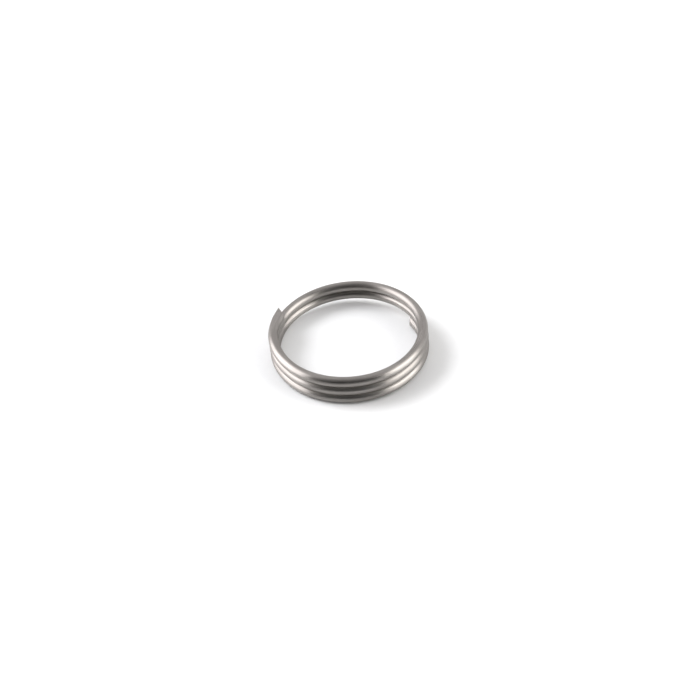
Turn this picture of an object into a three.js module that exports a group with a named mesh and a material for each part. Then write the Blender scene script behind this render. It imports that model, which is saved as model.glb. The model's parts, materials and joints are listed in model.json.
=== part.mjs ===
// A split key ring: one length of round spring wire, wound into a close coil of about two and
// two thirds turns with both ends sheared off at a slant. It lies on the ground as it comes to
// rest, with +Z up. The origin is on the ground, straight below the foot of the coil's axis.
//
// The wire is elastic, so it is built as short lengths in a row. The lengths of the first half
// turn from each end are the leaves, which bend away from the coil when something is pushed in.

import * as THREE from 'three';

// Driving dimensions, in millimetres, degrees and turns.
const OUTER_DIAMETER = 19;
const WIRE_DIAMETER = 1.2;
const TURN_GAP = 0.024; // between one turn and the next
const TURNS = 2.65;
const LOWER_TIP_AZIMUTH = 27; // counter-clockwise from +X, seen from above
const SHEAR_ANGLE = 42; // of the cut ends, away from square
const RESTING_ANGLE = 170; // along the wire, from the lower tip to where the coil rests again

// How the wire is divided.
const LEAF_LENGTHS = 6;
const MIDDLE_LENGTHS = 20;
const LENGTH_GAP = 0.06; // between the ends of neighbouring lengths

// How finely each length is faceted.
const SIDES = 16;
const STEPS = 6;

const TAU = 2 * Math.PI;
const wireRadius = WIRE_DIAMETER / 2;
const coilRadius = (OUTER_DIAMETER - WIRE_DIAMETER) / 2;
const risePerRadian = (WIRE_DIAMETER + TURN_GAP) / TAU;
const wireAngle = TURNS * TAU;
const lowerTipAzimuth = THREE.MathUtils.degToRad(LOWER_TIP_AZIMUTH);

// A stretch of the coil's centre line, between two angles along the wire from its lower tip.
// Seen from above, the wire climbs clockwise.
class CoilStretch extends THREE.Curve {
  constructor(from, to) {
    super();
    this.from = from;
    this.to = to;
  }

  getPoint(t, target = new THREE.Vector3()) {
    const along = THREE.MathUtils.lerp(this.from, this.to, t);
    const azimuth = lowerTipAzimuth - along;
    return target.set(
      coilRadius * Math.cos(azimuth),
      coilRadius * Math.sin(azimuth),
      risePerRadian * along,
    );
  }
}

const wireSection = new THREE.Shape();
wireSection.absarc(0, 0, wireRadius, 0, TAU);

// One length of wire with square ends.
function wireLength(stretch) {
  return new THREE.ExtrudeGeometry(wireSection, {
    curveSegments: SIDES / 2, // three.js gives an arc twice as many
    steps: STEPS,
    extrudePath: stretch,
    bevelEnabled: false,
  });
}

// Slants the end of a length that is a tip of the wire, so that its outer side is the longer.
// t is 0 at the start of the stretch and 1 at its end.
function shearTip(geometry, stretch, t) {
  const tip = stretch.getPoint(t);
  const outwards = new THREE.Vector3(tip.x, tip.y, 0).normalize();
  const offTheEnd = stretch.getTangent(t);
  if (t === 0) offTheEnd.negate();

  const slope = Math.tan(THREE.MathUtils.degToRad(SHEAR_ANGLE));
  const onTheEndFace = wireRadius / 100;
  const position = geometry.getAttribute('position');
  const point = new THREE.Vector3();
  const offset = new THREE.Vector3();
  for (let i = 0; i < position.count; i += 1) {
    point.fromBufferAttribute(position, i);
    offset.subVectors(point, tip);
    const isOnTheEnd = Math.abs(offset.dot(offTheEnd)) < onTheEndFace
      && offset.length() < WIRE_DIAMETER;
    if (isOnTheEnd) {
      point.addScaledVector(offTheEnd, slope * offset.dot(outwards));
      position.setXYZ(i, point.x, point.y, point.z);
    }
  }
}

// The lengths' names, in order along the wire from the lower tip to the upper one.
function lengthNames() {
  const names = ['lower_tip'];
  for (let i = 2; i <= LEAF_LENGTHS; i += 1) names.push(`lower_leaf_${i}`);
  for (let i = 1; i <= MIDDLE_LENGTHS; i += 1) {
    names.push(`middle_coil_${String(i).padStart(2, '0')}`);
  }
  for (let i = LEAF_LENGTHS; i >= 2; i -= 1) names.push(`upper_leaf_${i}`);
  names.push('upper_tip');
  return names;
}

function buildCoil() {
  const coil = new THREE.Group();
  const names = lengthNames();
  const lengthAngle = wireAngle / names.length;
  const halfGapAngle = LENGTH_GAP / 2 / coilRadius;
  names.forEach((name, i) => {
    const isLowerTip = i === 0;
    const isUpperTip = i === names.length - 1;
    const from = i * lengthAngle + (isLowerTip ? 0 : halfGapAngle);
    const to = (i + 1) * lengthAngle - (isUpperTip ? 0 : halfGapAngle);
    const stretch = new CoilStretch(from, to);
    const geometry = wireLength(stretch);
    if (isLowerTip) shearTip(geometry, stretch, 0);
    if (isUpperTip) shearTip(geometry, stretch, 1);

    // Drawn stainless spring wire, bright with a fine satin.
    const steel = new THREE.MeshStandardMaterial({
      color: 0xa39f9a,
      roughness: 0.32,
      metalness: 1,
    });
    const mesh = new THREE.Mesh(geometry, steel);
    mesh.name = name;
    coil.add(mesh);
  });
  return coil;
}

// Lays the coil on the ground. Its lower end makes it lean: it rests on the lower tip and, at
// RESTING_ANGLE along the wire, on the underside of the lowest turn. The ground's height at an
// angle a along the wire, before it is levelled, is towardsTip * (cos(a) - 1) + acrossTip * sin(a),
// which meets the climbing wire at that angle and is tangent to it there.
function layOnGround(coil) {
  const angle = THREE.MathUtils.degToRad(RESTING_ANGLE);
  const cos = Math.cos(angle);
  const sin = Math.sin(angle);
  const towardsTip = risePerRadian * (angle * cos - sin) / (1 - cos);
  const acrossTip = risePerRadian * (angle * sin / (1 - cos) - 1);

  const tipX = Math.cos(lowerTipAzimuth);
  const tipY = Math.sin(lowerTipAzimuth);
  const slopeX = (towardsTip * tipX + acrossTip * tipY) / coilRadius;
  const slopeY = (towardsTip * tipY - acrossTip * tipX) / coilRadius;
  const up = new THREE.Vector3(0, 0, 1);
  const groundNormal = new THREE.Vector3(-slopeX, -slopeY, 1).normalize();
  coil.quaternion.setFromUnitVectors(groundNormal, up);

  const lowerTip = new CoilStretch(0, wireAngle).getPoint(0).applyQuaternion(coil.quaternion);
  coil.position.set(0, 0, wireRadius - lowerTip.z);
}

const coil = buildCoil();
layOnGround(coil);

const group = new THREE.Group();
group.name = 'split_key_ring';
group.add(coil);

export default group;
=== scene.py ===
# Looks for a split key ring: one length of bright drawn spring wire in a close coil, lying on a
# pale surface. Everything is in metres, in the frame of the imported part.

import json
import math

import bpy
from mathutils import Matrix, Quaternion, Vector

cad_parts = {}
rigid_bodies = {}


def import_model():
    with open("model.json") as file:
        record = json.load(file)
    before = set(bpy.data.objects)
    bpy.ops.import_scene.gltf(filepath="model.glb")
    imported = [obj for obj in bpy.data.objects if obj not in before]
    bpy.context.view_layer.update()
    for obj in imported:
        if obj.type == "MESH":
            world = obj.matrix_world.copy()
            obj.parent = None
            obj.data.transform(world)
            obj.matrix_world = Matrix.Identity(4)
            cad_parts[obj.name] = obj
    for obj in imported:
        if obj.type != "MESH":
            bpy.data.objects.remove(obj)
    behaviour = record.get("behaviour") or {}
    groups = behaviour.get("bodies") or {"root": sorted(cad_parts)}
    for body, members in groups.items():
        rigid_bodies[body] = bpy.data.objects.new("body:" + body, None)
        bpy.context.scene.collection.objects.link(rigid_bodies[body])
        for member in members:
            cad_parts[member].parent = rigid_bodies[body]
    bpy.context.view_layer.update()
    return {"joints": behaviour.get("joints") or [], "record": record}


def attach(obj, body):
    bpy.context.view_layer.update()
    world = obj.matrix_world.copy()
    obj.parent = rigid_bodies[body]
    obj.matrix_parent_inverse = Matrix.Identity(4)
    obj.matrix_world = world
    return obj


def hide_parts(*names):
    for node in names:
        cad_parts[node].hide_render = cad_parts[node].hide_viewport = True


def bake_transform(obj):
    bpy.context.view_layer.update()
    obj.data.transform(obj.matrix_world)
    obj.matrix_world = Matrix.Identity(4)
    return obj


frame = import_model()


# ---- The lower end of the wire ----
# The ring is one length of round steel spring wire, drawn through a die and wound into a coil.
# Here is its first end, cropped on a slant as if by a blade from inside the coil: the wire's edge
# is rolled over there, and the outer side is left longest, with a burr.

WIRE_DIAMETER = 1.2e-3
TURNS = 2.65
SHEAR_ANGLE = math.radians(42)  # of the cut, away from square
FLAT_LENGTH = 4.5e-3  # over which the upper end goes from round to pressed
FLAT_WIDTH = 1.1  # of the pressed end, as a share of the wire's diameter
FLAT_HEIGHT = 0.86
FLAT_SQUARENESS = 0.5  # 0 leaves the top and the underside round
TURNED_IN = 0.18e-3  # how far each end springs in towards the hole
ROUNDED_RIM = 0.035e-3  # how deep the cut's edge is rounded
ROLLED_EDGE = 0.11e-3  # how far the blade dragged the inner side down
BURR = 0.045e-3
BREAK_ROUGHNESS = 0.012e-3
BREAK_FROM = -0.3  # across the cut, from -1 at the inner side to 1 at the outer one
BREAK_WHOLE = 0.05
GRAIN_SCALE = 5.5  # of the torn metal, to a wire's radius
GRAIN_SEED = 3.0
WIRE_SIDES = 48
END_ROWS = 14  # of faces that close a cropped end
ROWS_PER_DEGREE = 1
ON_THE_SIDE = 0.9995  # of the section's radius: anything nearer its centre is on the cut
SAME_POINT = 1e-7
SHARP_CORNER = math.radians(40)

record = frame["record"]
hinges = frame["joints"]  # in order along the wire, from the lower end
wire_lengths = sum(len(nodes) for nodes in record["behaviour"]["bodies"].values())
leaf_hinges = len(hinges) // 2
wire_angle = TURNS * math.tau
length_angle = wire_angle / wire_lengths

# The coil's own axis, and the wire's place round it, from the ring's hole and the hinges.
hole = record["mounts"][0]
coil_axis = Vector(hole["axis"]).normalized()
coil_middle = Vector(hole["pos_m"])
lean = Vector((0, 0, 1)).rotation_difference(coil_axis)
first_hinge, last_hinge = (
    lean.inverted() @ (Vector(hinge["pos_m"]) - coil_middle) for hinge in (hinges[0], hinges[-1])
)
coil_radius = first_hinge.xy.length
rise = (last_hinge.z - first_hinge.z) / (wire_angle - 2 * length_angle)  # per radian
tip_azimuth = math.atan2(first_hinge.y, first_hinge.x) + length_angle
foot = coil_middle - coil_axis * rise * wire_angle / 2
from_coil = Matrix.Translation(foot) @ lean.to_matrix().to_4x4()


def put(tree, socket, value):
    """Links a value that comes from a node, and sets any other."""
    if isinstance(value, bpy.types.NodeSocket):
        tree.links.new(value, socket)
    else:
        socket.default_value = value


def work_out(tree, operation, *values):
    node = tree.nodes.new("ShaderNodeMath")
    node.operation = operation
    for socket, value in zip(node.inputs, values):
        put(tree, socket, value)
    return node.outputs["Value"]


def spread_over(tree, value, low, high, to_low=0.0, to_high=1.0):
    """A smooth step of value, from low to high."""
    node = tree.nodes.new("ShaderNodeMapRange")
    node.interpolation_type = "SMOOTHSTEP"
    put(tree, node.inputs["Value"], value)
    put(tree, node.inputs["From Min"], low)
    put(tree, node.inputs["From Max"], high)
    put(tree, node.inputs["To Min"], to_low)
    put(tree, node.inputs["To Max"], to_high)
    return node.outputs["Result"]


def three_together(tree, x, y, z):
    node = tree.nodes.new("ShaderNodeCombineXYZ")
    for socket, value in zip(node.inputs, (x, y, z)):
        put(tree, socket, value)
    return node.outputs["Vector"]


def make_wire_tree():
    """Geometry nodes for a stretch of the wound wire, with each end square or cropped."""
    tree = bpy.data.node_groups.new("wound wire", "GeometryNodeTree")
    tree.interface.new_socket("Wire", in_out="OUTPUT", socket_type="NodeSocketGeometry")
    for name in (
        "Coil Radius", "Rise", "Tip Azimuth", "From", "To", "Wire Radius", "Shear Slope",
        "Lower Cut", "Upper Cut", "Rounded Rim", "Rolled Edge", "Burr", "Break Roughness",
        "Seed", "Wire Angle", "Flat Length", "Flat Width", "Flat Height", "Flat Squareness",
        "Turned In",
    ):
        tree.interface.new_socket(name, in_out="INPUT", socket_type="NodeSocketFloat")
    for name in ("Rows", "End Rows", "Sides"):
        tree.interface.new_socket(name, in_out="INPUT", socket_type="NodeSocketInt")
    for name in ("Wire Finish", "Cut Finish"):
        tree.interface.new_socket(name, in_out="INPUT", socket_type="NodeSocketMaterial")
    size = tree.nodes.new("NodeGroupInput").outputs

    def plus(a, b):
        return work_out(tree, "ADD", a, b)

    def minus(a, b):
        return work_out(tree, "SUBTRACT", a, b)

    def times(a, b):
        return work_out(tree, "MULTIPLY", a, b)

    def share(a, b):
        fraction = work_out(tree, "DIVIDE", a, b)
        return work_out(tree, "MINIMUM", work_out(tree, "MAXIMUM", fraction, 0.0), 1.0)

    # A unit sheet, with its rows along the wire and its sides round it. The first rows and the
    # last ones close the two ends.
    all_rows = plus(size["Rows"], times(size["End Rows"], 2.0))
    last_row = minus(all_rows, 1.0)
    unit_sheet = tree.nodes.new("GeometryNodeMeshGrid")
    unit_sheet.inputs["Size X"].default_value = 1
    unit_sheet.inputs["Size Y"].default_value = 1
    put(tree, unit_sheet.inputs["Vertices X"], all_rows)
    put(tree, unit_sheet.inputs["Vertices Y"], plus(size["Sides"], 1.0))
    place = tree.nodes.new("ShaderNodeSeparateXYZ")
    put(tree, place.inputs[0], tree.nodes.new("GeometryNodeInputPosition").outputs[0])
    row = times(plus(place.outputs["X"], 0.5), last_row)
    round_angle = times(minus(0.5, place.outputs["Y"]), math.tau)  # so that faces look outwards

    from_lower = share(row, size["End Rows"])
    from_upper = share(minus(last_row, row), size["End Rows"])
    nearer_end = work_out(tree, "MINIMUM", from_lower, from_upper)
    from_centre = work_out(tree, "SINE", times(nearer_end, math.pi / 2))
    fraction = share(minus(row, size["End Rows"]), minus(size["Rows"], 1.0))

    # The section is round, and towards the upper end of the wire it is wider and flatter.
    slope_length = work_out(
        tree, "SQRT", plus(times(size["Coil Radius"], size["Coil Radius"]),
                           times(size["Rise"], size["Rise"]))
    )
    uncut = plus(size["From"], times(minus(size["To"], size["From"]), fraction))
    to_upper_end = times(minus(size["Wire Angle"], uncut), slope_length)
    flat = spread_over(tree, to_upper_end, size["Flat Length"], 0.0)
    to_nearer_end = work_out(tree, "MINIMUM", to_upper_end, times(uncut, slope_length))
    turned = spread_over(tree, to_nearer_end, size["Flat Length"], 0.0)
    wider = plus(1.0, times(minus(size["Flat Width"], 1.0), flat))
    lower_top = plus(1.0, times(minus(size["Flat Height"], 1.0), flat))
    roundness = minus(1.0, times(size["Flat Squareness"], flat))
    sine_round = work_out(tree, "SINE", round_angle)
    squared_off = work_out(tree, "POWER", work_out(tree, "ABSOLUTE", sine_round), roundness)
    squared_off = times(squared_off, work_out(tree, "SIGN", sine_round))
    outwards = times(times(from_centre, work_out(tree, "COSINE", round_angle)), wider)
    upwards = times(times(from_centre, squared_off), lower_top)

    # The cropped face, as how far it stands out along the wire.
    grain = tree.nodes.new("ShaderNodeTexNoise")
    grain.noise_dimensions = "4D"
    put(tree, grain.inputs["Vector"], three_together(tree, outwards, upwards, 0.0))
    put(tree, grain.inputs["W"], size["Seed"])
    grain.inputs["Scale"].default_value = GRAIN_SCALE
    grain.inputs["Detail"].default_value = 5
    grain_height = times(minus(grain.outputs["Fac"], 0.5), 2.0)
    slant = times(times(outwards, size["Wire Radius"]), size["Shear Slope"])
    rolled = times(spread_over(tree, outwards, -0.35, -1.05), size["Rolled Edge"])
    ragged = plus(0.65, times(grain_height, 0.9))
    burr = times(times(spread_over(tree, outwards, 0.72, 1.0), ragged), size["Burr"])
    broken = times(
        spread_over(tree, outwards, BREAK_FROM, BREAK_WHOLE), size["Break Roughness"]
    )
    rim_curve = work_out(tree, "SQRT", minus(1.0, work_out(tree, "POWER", from_centre, 10.0)))
    rounded = times(minus(1.0, rim_curve), size["Rounded Rim"])
    standing = plus(plus(slant, burr), times(grain_height, broken))
    standing = minus(minus(standing, rolled), rounded)

    # Along the wire, as an angle from its lower end.
    standing_angle = work_out(tree, "DIVIDE", standing, slope_length)
    lower = minus(size["From"], times(standing_angle, size["Lower Cut"]))
    upper = plus(size["To"], times(standing_angle, size["Upper Cut"]))
    along = plus(lower, times(minus(upper, lower), fraction))
    azimuth = minus(size["Tip Azimuth"], along)
    cosine = work_out(tree, "COSINE", azimuth)
    sine = work_out(tree, "SINE", azimuth)
    aside = times(outwards, size["Wire Radius"])
    above = times(upwards, size["Wire Radius"])
    out = minus(plus(size["Coil Radius"], aside), times(size["Turned In"], turned))
    tilted = work_out(tree, "DIVIDE", times(above, size["Rise"]), slope_length)
    upright = work_out(tree, "DIVIDE", times(above, size["Coil Radius"]), slope_length)
    point = three_together(
        tree,
        minus(times(out, cosine), times(tilted, sine)),
        plus(times(out, sine), times(tilted, cosine)),
        plus(times(size["Rise"], along), upright),
    )

    # Kept on the mesh: the place on the wire as if it were straight, where the cuts are, and the
    # sheet unrolled, with the first of its two directions along the wire.
    straight_place = three_together(tree, aside, above, times(along, slope_length))
    stores = (
        ("place_on_wire", "FLOAT_VECTOR", straight_place),
        ("from_centre", "FLOAT", from_centre),
        ("across_cut", "FLOAT", outwards),
        ("unrolled", "FLOAT2", unit_sheet.outputs["UV Map"]),
    )
    shape = unit_sheet.outputs["Mesh"]
    for name, kind, value in stores:
        store = tree.nodes.new("GeometryNodeStoreNamedAttribute")
        store.data_type = kind
        store.domain = "CORNER" if kind == "FLOAT2" else "POINT"
        store.inputs["Name"].default_value = name
        put(tree, store.inputs["Value"], value)
        put(tree, store.inputs["Geometry"], shape)
        shape = store.outputs["Geometry"]
    move = tree.nodes.new("GeometryNodeSetPosition")
    put(tree, move.inputs["Geometry"], shape)
    put(tree, move.inputs["Position"], point)
    close = tree.nodes.new("GeometryNodeMergeByDistance")
    close.inputs["Distance"].default_value = SAME_POINT
    put(tree, close.inputs["Geometry"], move.outputs["Geometry"])
    smooth = tree.nodes.new("GeometryNodeSetShadeSmooth")
    put(tree, smooth.inputs["Geometry"], close.outputs["Geometry"])
    single = tree.nodes.new("GeometryNodeRealizeInstances")
    put(tree, single.inputs["Geometry"], smooth.outputs["Geometry"])
    drawn = tree.nodes.new("GeometryNodeSetMaterial")
    put(tree, drawn.inputs["Geometry"], single.outputs["Geometry"])
    put(tree, drawn.inputs["Material"], size["Wire Finish"])
    stored = tree.nodes.new("GeometryNodeInputNamedAttribute")
    stored.data_type = "FLOAT"
    stored.inputs["Name"].default_value = "from_centre"
    on_cut = work_out(tree, "LESS_THAN", stored.outputs["Attribute"], ON_THE_SIDE)
    cropped = tree.nodes.new("GeometryNodeSetMaterial")
    put(tree, cropped.inputs["Geometry"], drawn.outputs["Geometry"])
    put(tree, cropped.inputs["Selection"], on_cut)
    put(tree, cropped.inputs["Material"], size["Cut Finish"])
    result = tree.nodes.new("NodeGroupOutput")
    put(tree, result.inputs["Wire"], cropped.outputs["Geometry"])
    return tree


def make_streaks():
    """A shader node group for the fine lines that a die leaves along the wire, and for the
    cloudier marks of handling."""
    tree = bpy.data.node_groups.new("drawn streaks", "ShaderNodeTree")
    tree.interface.new_socket("Streaks per Metre", in_out="INPUT", socket_type="NodeSocketFloat")
    tree.interface.new_socket("Stretch", in_out="INPUT", socket_type="NodeSocketFloat")
    tree.interface.new_socket("Streaks", in_out="OUTPUT", socket_type="NodeSocketFloat")
    tree.interface.new_socket("Scuffs", in_out="OUTPUT", socket_type="NodeSocketFloat")
    tree.interface.new_socket("Clouds", in_out="OUTPUT", socket_type="NodeSocketFloat")
    size = tree.nodes.new("NodeGroupInput").outputs
    place = tree.nodes.new("ShaderNodeAttribute")
    place.attribute_name = "place_on_wire"
    apart = tree.nodes.new("ShaderNodeSeparateXYZ")
    put(tree, apart.inputs[0], place.outputs["Vector"])

    def noise(scale, stretch, detail, rough=0.5):
        """Noise over the wire's surface, drawn out along the wire."""
        aside = work_out(tree, "MULTIPLY", apart.outputs["X"], scale)
        above = work_out(tree, "MULTIPLY", apart.outputs["Y"], scale)
        along = work_out(
            tree, "MULTIPLY", apart.outputs["Z"], work_out(tree, "DIVIDE", scale, stretch)
        )
        texture = tree.nodes.new("ShaderNodeTexNoise")
        texture.inputs["Scale"].default_value = 1
        texture.inputs["Detail"].default_value = detail
        texture.inputs["Roughness"].default_value = rough
        put(tree, texture.inputs["Vector"], three_together(tree, aside, above, along))
        return texture.outputs["Fac"]

    fine_share, coarse_share = 0.6, 0.4
    coarse_per_fine = 0.3
    fine = noise(size["Streaks per Metre"], size["Stretch"], 4.0, 0.6)
    coarse_scale = work_out(tree, "MULTIPLY", size["Streaks per Metre"], coarse_per_fine)
    coarse = noise(coarse_scale, size["Stretch"], 2.0)
    lines = work_out(
        tree, "ADD", work_out(tree, "MULTIPLY", fine, fine_share),
        work_out(tree, "MULTIPLY", coarse, coarse_share)
    )
    scuffs = spread_over(tree, noise(5200.0, 5.0, 6.0, 0.7), 0.6, 0.72)
    clouds = spread_over(tree, noise(900.0, 3.0, 3.0), 0.32, 0.7)
    result = tree.nodes.new("NodeGroupOutput")
    put(tree, result.inputs["Streaks"], lines)
    put(tree, result.inputs["Scuffs"], scuffs)
    put(tree, result.inputs["Clouds"], clouds)
    return tree


def blend_colours(tree, share_of_second, first, second):
    node = tree.nodes.new("ShaderNodeMix")
    node.data_type = "RGBA"
    put(tree, node.inputs["Factor"], share_of_second)
    put(tree, node.inputs[6], first)
    put(tree, node.inputs[7], second)
    return node.outputs[2]


def new_finish(name):
    """A material with only its shader and output, and the node tree to add to."""
    finish = bpy.data.materials.new(name)
    finish.use_nodes = True
    tree = finish.node_tree
    tree.nodes.clear()
    shader = tree.nodes.new("ShaderNodeBsdfPrincipled")
    output = tree.nodes.new("ShaderNodeOutputMaterial")
    put(tree, output.inputs["Surface"], shader.outputs["BSDF"])
    return finish, tree, shader


def bump(tree, height, distance, strength=1.0):
    node = tree.nodes.new("ShaderNodeBump")
    node.inputs["Distance"].default_value = distance
    node.inputs["Strength"].default_value = strength
    put(tree, node.inputs["Height"], height)
    return node.outputs["Normal"]


streak_group = make_streaks()


def make_drawn_steel():
    """Bright drawn stainless wire. The die leaves fine lines along it, which spread what it
    reflects round the wire more than along it, and handling leaves faint clouds and scuffs."""
    finish, tree, shader = new_finish("drawn stainless wire")
    streaks = tree.nodes.new("ShaderNodeGroup")
    streaks.node_tree = streak_group
    streaks.inputs["Streaks per Metre"].default_value = 14000
    streaks.inputs["Stretch"].default_value = 110
    clean = (0.49, 0.475, 0.459, 1)
    dull = (0.375, 0.36, 0.346, 1)
    pale_scuff = (0.58, 0.57, 0.55, 1)
    steel = blend_colours(tree, streaks.outputs["Clouds"], clean, dull)
    in_lines = spread_over(tree, streaks.outputs["Streaks"], 0.4, 0.62)
    steel = blend_colours(tree, in_lines, steel, dull)
    scuffed = work_out(tree, "MULTIPLY", streaks.outputs["Scuffs"], 0.5)
    put(tree, shader.inputs["Base Color"], blend_colours(tree, scuffed, steel, pale_scuff))
    roughness = spread_over(tree, streaks.outputs["Streaks"], 0.35, 0.65, 0.27, 0.42)
    rougher = work_out(tree, "MULTIPLY", streaks.outputs["Scuffs"], 0.1)
    put(tree, shader.inputs["Roughness"], work_out(tree, "ADD", roughness, rougher))
    height = work_out(
        tree, "SUBTRACT", streaks.outputs["Streaks"],
        work_out(tree, "MULTIPLY", streaks.outputs["Scuffs"], 0.25)
    )
    put(tree, shader.inputs["Normal"], bump(tree, height, 7e-6))
    shader.inputs["Metallic"].default_value = 1
    shader.inputs["Anisotropic"].default_value = 0.6
    shader.inputs["Anisotropic Rotation"].default_value = 0.25  # a quarter turn, across the lines
    drawn_along = tree.nodes.new("ShaderNodeTangent")
    drawn_along.direction_type = "UV_MAP"
    drawn_along.uv_map = "unrolled"
    put(tree, shader.inputs["Tangent"], drawn_along.outputs["Tangent"])
    return finish


def make_cropped_steel():
    """The cropped face: rubbed bright where the blade went in, grey and torn where it broke."""
    finish, tree, shader = new_finish("cropped steel")
    across = tree.nodes.new("ShaderNodeAttribute")
    across.attribute_name = "across_cut"
    place = tree.nodes.new("ShaderNodeAttribute")
    place.attribute_name = "place_on_wire"
    torn = spread_over(tree, across.outputs["Fac"], BREAK_FROM, BREAK_WHOLE)
    tear = tree.nodes.new("ShaderNodeTexNoise")
    tear.inputs["Scale"].default_value = 26000
    tear.inputs["Detail"].default_value = 6
    put(tree, tear.inputs["Vector"], place.outputs["Vector"])
    rubbed = (0.6, 0.585, 0.565, 1)
    broken = (0.4, 0.39, 0.375, 1)
    shade = work_out(tree, "MULTIPLY", torn, tear.outputs["Fac"])
    steel = blend_colours(tree, work_out(tree, "MULTIPLY", shade, 1.4), rubbed, broken)
    put(tree, shader.inputs["Base Color"], steel)
    put(tree, shader.inputs["Roughness"], spread_over(tree, shade, 0.0, 0.6, 0.28, 0.6))
    height = work_out(tree, "MULTIPLY", tear.outputs["Fac"], torn)
    put(tree, shader.inputs["Normal"], bump(tree, height, 9e-6))
    shader.inputs["Metallic"].default_value = 1
    return finish


wire_tree = make_wire_tree()
drawn_steel = make_drawn_steel()
cropped_steel = make_cropped_steel()


def wind_wire(name, start, end, lower_cut=False, upper_cut=False):
    """A stretch of the wound wire between two angles along it, as a plain mesh."""
    piece = bpy.data.objects.new(name, bpy.data.meshes.new(name))
    bpy.context.scene.collection.objects.link(piece)
    winding = piece.modifiers.new("winding", "NODES")
    winding.node_group = wire_tree
    sizes = {
        "Coil Radius": coil_radius,
        "Rise": rise,
        "Tip Azimuth": tip_azimuth,
        "From": start,
        "To": end,
        "Wire Radius": WIRE_DIAMETER / 2,
        "Shear Slope": math.tan(SHEAR_ANGLE),
        "Lower Cut": float(lower_cut),
        "Upper Cut": float(upper_cut),
        "Rounded Rim": ROUNDED_RIM,
        "Rolled Edge": ROLLED_EDGE,
        "Burr": BURR,
        "Break Roughness": BREAK_ROUGHNESS,
        "Seed": GRAIN_SEED + start,
        "Wire Angle": wire_angle,
        "Flat Length": FLAT_LENGTH,
        "Flat Width": FLAT_WIDTH,
        "Flat Height": FLAT_HEIGHT,
        "Flat Squareness": FLAT_SQUARENESS,
        "Turned In": TURNED_IN,
        "Rows": round(math.degrees(end - start) * ROWS_PER_DEGREE) + 1,
        "End Rows": END_ROWS if lower_cut or upper_cut else 1,
        "Sides": WIRE_SIDES,
        "Wire Finish": drawn_steel,
        "Cut Finish": cropped_steel,
    }
    for item in wire_tree.interface.items_tree:
        if item.in_out == "INPUT":
            winding[item.identifier] = sizes[item.name]
    bpy.context.view_layer.update()
    wound = piece.evaluated_get(bpy.context.evaluated_depsgraph_get())
    mesh = bpy.data.meshes.new_from_object(wound)
    piece.modifiers.remove(winding)
    piece.data = mesh
    mesh.name = name
    mesh.transform(from_coil)
    mesh.set_sharp_from_angle(angle=SHARP_CORNER)
    return piece


lower_end = wind_wire("wire_lower_end", 0, length_angle / 2, lower_cut=True)
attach(lower_end, hinges[0]["parent"])
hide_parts("lower_tip")


# ---- The lower leaf ----
# The first half turn of the same wire. Nothing is fixed to it: it is sprung away from the turn
# above it when a key is pushed in, and bends a little all along.


def bend_wire(name, number, replaced):
    """The stretch of wire over one hinge, from half a length before it to half after."""
    start = (number - 0.5) * length_angle
    end = (number + 0.5) * length_angle
    piece = wind_wire(name, start, end)
    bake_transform(piece)
    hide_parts(replaced)


for number in range(1, leaf_hinges + 1):
    replaced = "middle_coil_01" if number == leaf_hinges else f"lower_leaf_{number + 1}"
    bend_wire(f"wire_lower_bend_{number}", number, replaced)


# ---- The turns between the leaves ----
# The wire goes on round in close turns, which press on each other and hardly move. What hangs
# on the ring runs on these.

turns_start = (leaf_hinges + 0.5) * length_angle
turns = wind_wire("wire_turns", turns_start, wire_angle - turns_start)
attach(turns, "middle_coil")
turn_nodes = sorted(record["behaviour"]["bodies"]["middle_coil"])[1:-1]
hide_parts(*turn_nodes)


# ---- The upper leaf ----
# The last half turn, the same as the lower one: a key's bow lifts it off the turn below and
# slides under it.

for number in range(leaf_hinges, 0, -1):
    replaced = "middle_coil_20" if number == leaf_hinges else f"upper_leaf_{number + 1}"
    bend_wire(f"wire_upper_bend_{number}", wire_lengths - number, replaced)


# ---- The upper end of the wire ----
# Cropped in the same way as the lower end, with its outer side longest too. The wire is a little
# wider and flatter towards it, as if pressed, and it lies on the turn below.

upper_end = wind_wire(
    "wire_upper_end", wire_angle - length_angle / 2, wire_angle, upper_cut=True
)
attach(upper_end, hinges[-1]["child"])
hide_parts("upper_tip")


# ---- The surface that it lies on ----
# A wide sheet of matt white board, level, just touching the wire where the ring rests.

BOARD_WIDTH = 6.0

board_mesh = bpy.data.meshes.new("board")
half = BOARD_WIDTH / 2
corners = [(-half, -half, 0), (half, -half, 0), (half, half, 0), (-half, half, 0)]
board_mesh.from_pydata(corners, [], [(0, 1, 2, 3)])
board = bpy.data.objects.new("board", board_mesh)
bpy.context.scene.collection.objects.link(board)


def make_board_white():
    """White card, plain and matt to look at. What the wire reflects of it is painted darker than
    the card itself, as painted shade, with the sheen of the windows on it."""
    finish, tree, shader = new_finish("white board")
    coordinates = tree.nodes.new("ShaderNodeTexCoord")
    fibres = tree.nodes.new("ShaderNodeTexNoise")
    fibres.inputs["Scale"].default_value = 900
    fibres.inputs["Detail"].default_value = 4
    put(tree, fibres.inputs["Vector"], coordinates.outputs["Object"])
    white = (0.84, 0.852, 0.862, 1)
    off_white = (0.81, 0.822, 0.832, 1)
    # painted shade: the card's colour in the wire's reflections, darker than it looks to the
    # camera
    reflected = (0.58, 0.58, 0.575, 1)
    card = blend_colours(tree, fibres.outputs["Fac"], white, off_white)
    rays = tree.nodes.new("ShaderNodeLightPath")
    card = blend_colours(tree, rays.outputs["Is Glossy Ray"], card, reflected)
    put(tree, shader.inputs["Base Color"], card)
    put(tree, shader.inputs["Normal"], bump(tree, fibres.outputs["Fac"], 8e-6, 0.5))
    put(tree, shader.inputs["Coat Weight"], rays.outputs["Is Glossy Ray"])
    shader.inputs["Coat Roughness"].default_value = 0.25
    shader.inputs["Coat IOR"].default_value = 2.0
    shader.inputs["Roughness"].default_value = 0.9
    shader.inputs["Specular IOR Level"].default_value = 0.1
    return finish


board_mesh.materials.append(make_board_white())


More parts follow.
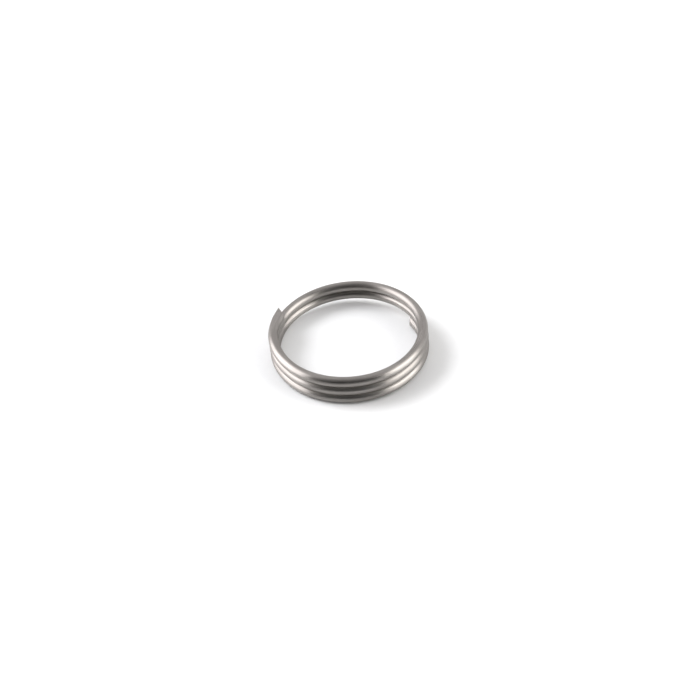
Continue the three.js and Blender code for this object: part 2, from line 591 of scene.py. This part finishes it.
# ---- The light ----
# A room with a broad soft window of light at each side, darker towards the near side. The
# windows are reflected as the bright stretches of wire. A lamp high up at the left throws the
# ring's soft shadow to the right, and a wider one overhead softens it.

WINDOW_LEAN = 0.28  # towards the far side, as a slope
LAMP_COLOUR = (0.97, 0.985, 1.0)
BACKDROP_WHITE = (1, 1, 1, 1)  # what the camera sees behind the board

room = bpy.data.worlds.new("room")
room.use_nodes = True
bpy.context.scene.world = room
room_tree = room.node_tree
room_tree.nodes.clear()
room_coordinates = room_tree.nodes.new("ShaderNodeTexCoord")
direction = room_coordinates.outputs["Generated"]
parts = room_tree.nodes.new("ShaderNodeSeparateXYZ")
put(room_tree, parts.inputs[0], direction)

# A direction seen level, in a room whose windows lean back a little towards the far side.
leaning = work_out(room_tree, "MULTIPLY", parts.outputs["Z"], WINDOW_LEAN)
leant_back = work_out(room_tree, "SUBTRACT", parts.outputs["Y"], leaning)
level_direction = room_tree.nodes.new("ShaderNodeVectorMath")
level_direction.operation = "NORMALIZE"
put(room_tree, level_direction.inputs[0],
    three_together(room_tree, parts.outputs["X"], leant_back, 0.0))


def towards(azimuth, looking):
    """How nearly a direction points to that azimuth from +X: 1 if it does, and -1 if away."""
    along = room_tree.nodes.new("ShaderNodeVectorMath")
    along.operation = "DOT_PRODUCT"
    put(room_tree, along.inputs[0], looking)
    turn = math.radians(azimuth)
    along.inputs[1].default_value = (math.cos(turn), math.sin(turn), 0)
    return along.outputs["Value"]


def window(azimuth, half_width, top, soft_edge, colour):
    """A soft window of light that stands on the floor: where its middle is, how wide it is to
    each side and how high it goes, in degrees."""
    def edge(angle):
        return math.cos(math.radians(angle))

    across = spread_over(
        room_tree, towards(azimuth, level_direction.outputs["Vector"]),
        edge(half_width + soft_edge), edge(half_width - soft_edge)
    )
    upwards = spread_over(
        room_tree, parts.outputs["Z"], math.sin(math.radians(top + soft_edge)),
        math.sin(math.radians(top - soft_edge))
    )
    share = work_out(room_tree, "MULTIPLY", across, upwards)
    return blend_colours(room_tree, share, (0, 0, 0, 1), colour)


def both(first, second):
    node = room_tree.nodes.new("ShaderNodeVectorMath")
    node.operation = "ADD"
    put(room_tree, node.inputs[0], first)
    put(room_tree, node.inputs[1], second)
    return node.outputs["Vector"]


near_walls = (0.042, 0.039, 0.039, 1)
far_walls = (0.7, 0.675, 0.67, 1)
depth = spread_over(room_tree, towards(75, direction), -0.95, 0.9)
walls = blend_colours(room_tree, depth, near_walls, far_walls)
left_window = window(176, 33, 57, 9, (2.7, 2.59, 2.57, 1))
right_window = window(-22, 25, 55, 9, (2.6, 2.53, 2.42, 1))
room_light = room_tree.nodes.new("ShaderNodeBackground")
put(room_tree, room_light.inputs["Color"], both(walls, both(left_window, right_window)))
backdrop = room_tree.nodes.new("ShaderNodeBackground")
backdrop.inputs["Color"].default_value = BACKDROP_WHITE
seen = room_tree.nodes.new("ShaderNodeMixShader")
rays = room_tree.nodes.new("ShaderNodeLightPath")
put(room_tree, seen.inputs["Fac"], rays.outputs["Is Camera Ray"])
put(room_tree, seen.inputs[1], room_light.outputs["Background"])
put(room_tree, seen.inputs[2], backdrop.outputs["Background"])
room_output = room_tree.nodes.new("ShaderNodeOutputWorld")
put(room_tree, room_output.inputs["Surface"], seen.outputs["Shader"])
bpy.context.scene.view_settings.view_transform = "Standard"


def hang_lamp(name, place, width, power):
    """A round diffused lamp that points at the ring, and isn't reflected in it."""
    light = bpy.data.lights.new(name, "AREA")
    light.shape = "DISK"
    light.size = width
    light.energy = power
    light.color = LAMP_COLOUR
    lamp = bpy.data.objects.new(name, light)
    bpy.context.scene.collection.objects.link(lamp)
    lamp.location = place
    lamp.rotation_euler = Vector(place).to_track_quat("Z", "Y").to_euler()
    lamp.visible_camera = False
    lamp.visible_glossy = False


hang_lamp("key_lamp", (-2.58, 1.04, 2.88), 2.0, 72)
hang_lamp("overhead_lamp", (0, 0, 4), 5.0, 50)


# ---- The camera ----
# Three quarters down on the ring from the front, a little to its left and a little off level.

CAMERA_BACK = Vector((-0.02518, -0.74199, 0.66993))  # from the ring towards the camera
CAMERA_PLACE = Vector((-0.00453, -0.13303, 0.1201))
CAMERA_ROLL = math.radians(-3.4)
LENS_LENGTH = 76.7  # in millimetres, as the sensor is
SENSOR_WIDTH = 36

camera_data = bpy.data.cameras.new("camera")
camera_data.lens = LENS_LENGTH
camera_data.sensor_width = SENSOR_WIDTH
camera_data.clip_start = 0.001
camera = bpy.data.objects.new("camera", camera_data)
bpy.context.scene.collection.objects.link(camera)
camera.location = CAMERA_PLACE
camera.rotation_mode = "QUATERNION"
level = CAMERA_BACK.to_track_quat("Z", "Y")
camera.rotation_quaternion = level @ Quaternion((0, 0, 1), CAMERA_ROLL)
bpy.context.scene.camera = camera
